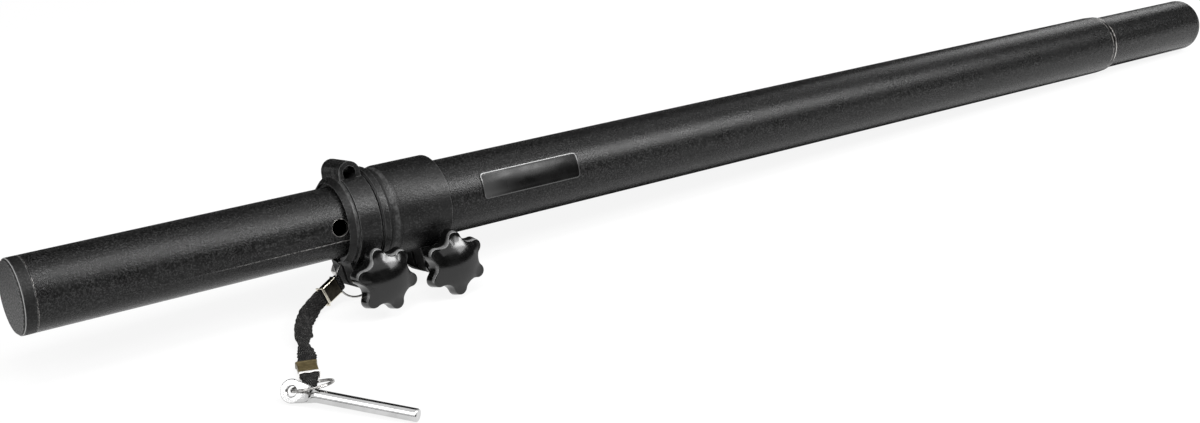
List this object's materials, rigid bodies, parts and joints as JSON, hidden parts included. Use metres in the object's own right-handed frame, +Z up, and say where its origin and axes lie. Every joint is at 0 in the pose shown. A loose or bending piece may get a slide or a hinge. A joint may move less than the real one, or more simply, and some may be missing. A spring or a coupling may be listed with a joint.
{
  "type": "speaker pole",
  "caption": "Black telescopic speaker pole with a clamped inner tube, lobed clamp knobs and a locking pin on a webbing leash.",
  "frame": {"origin": "centre of the bounding box at its lowest point, where the pole lies on the floor", "axes": "+X along the pole from the top cap to the foot, +Z up from the floor, -Y towards the clamp knobs and the leash"},
  "size_m": [0.8424, 0.153, 0.0702],
  "materials": {
    "powder_coat": "fine textured powder coat",
    "clamp_plastic": "moulded, fine grain",
    "cap_plastic": "rough, mottled",
    "knob_plastic": "smooth gloss",
    "plate_gloss": "clear gloss",
    "zinc_plate": "zinc plated",
    "bright_chrome": "polished",
    "webbing": "woven webbing"
  },
  "bodies": {
    "outer_pole": {"outer_tube": "powder_coat", "foot_tube": "powder_coat", "front_clamp": "clamp_plastic", "rear_clamp": "clamp_plastic", "guide_bush": "clamp_plastic", "front_nut": "zinc_plate", "rear_nut": "zinc_plate", "front_washer": "zinc_plate", "rear_washer": "zinc_plate", "name_plate": "plate_gloss"},
    "slider": {"guide_plug": "clamp_plastic"},
    "inner_pole": {"inner_tube": "powder_coat", "top_cap": "cap_plastic"},
    "front_screw": {"front_knob": "knob_plastic", "front_stud": "zinc_plate"},
    "rear_screw": {"rear_knob": "knob_plastic", "rear_stud": "zinc_plate"},
    "upper_ring": {"upper_split_ring": "zinc_plate"},
    "leash": {"strap": "webbing", "upper_crimp": "zinc_plate", "lower_crimp": "zinc_plate"},
    "lower_ring": {"lower_split_ring": "zinc_plate"},
    "pin": {"locking_pin": "bright_chrome"}
  },
  "joints": [
    {"name": "telescope", "type": "slide", "parent": "outer_pole", "child": "slider", "axis": [-0.9995, 0, 0.0325], "range_m": [-0.05, 0.36]},
    {"name": "inner_turn", "type": "hinge", "parent": "slider", "child": "inner_pole", "pos_m": [-0.4207, 0.05226, 0.04467], "axis": [0.9995, 0, -0.0325], "continuous": true},
    {"name": "front_knob_turn", "type": "hinge", "parent": "outer_pole", "child": "front_screw", "pos_m": [-0.25584, 0.04539, 0.01298], "axis": [0.0082, -0.9675, 0.2526], "continuous": true},
    {"name": "rear_knob_turn", "type": "hinge", "parent": "outer_pole", "child": "rear_screw", "pos_m": [-0.2171, 0.04511, 0.01066], "axis": [0.0082, -0.9675, 0.2526], "continuous": true},
    {"name": "upper_ring_turn", "type": "hinge", "parent": "outer_pole", "child": "upper_ring", "pos_m": [-0.25829, 0.045, 0.01156], "axis": [-0.0082, 0.9675, -0.2526], "range_deg": [-10, 10]},
    {"name": "leash_swing", "type": "hinge", "parent": "upper_ring", "child": "leash", "pos_m": [-0.26824, 0.04468, 0.01065], "axis": [0.3385, -0.1524, -0.9286], "range_deg": [-10, 10]},
    {"name": "lower_ring_swing", "type": "hinge", "parent": "leash", "child": "lower_ring", "pos_m": [-0.31735, -0.02271, 0.00248], "axis": [-0.9455, 0.3256, 0], "range_deg": [-12, 15]},
    {"name": "pin_swing", "type": "hinge", "parent": "lower_ring", "child": "pin", "pos_m": [-0.3296, -0.0284, 0.00536], "axis": [-0.6494, -0.5311, 0.5443], "range_deg": [-25, 0]}
  ]
}
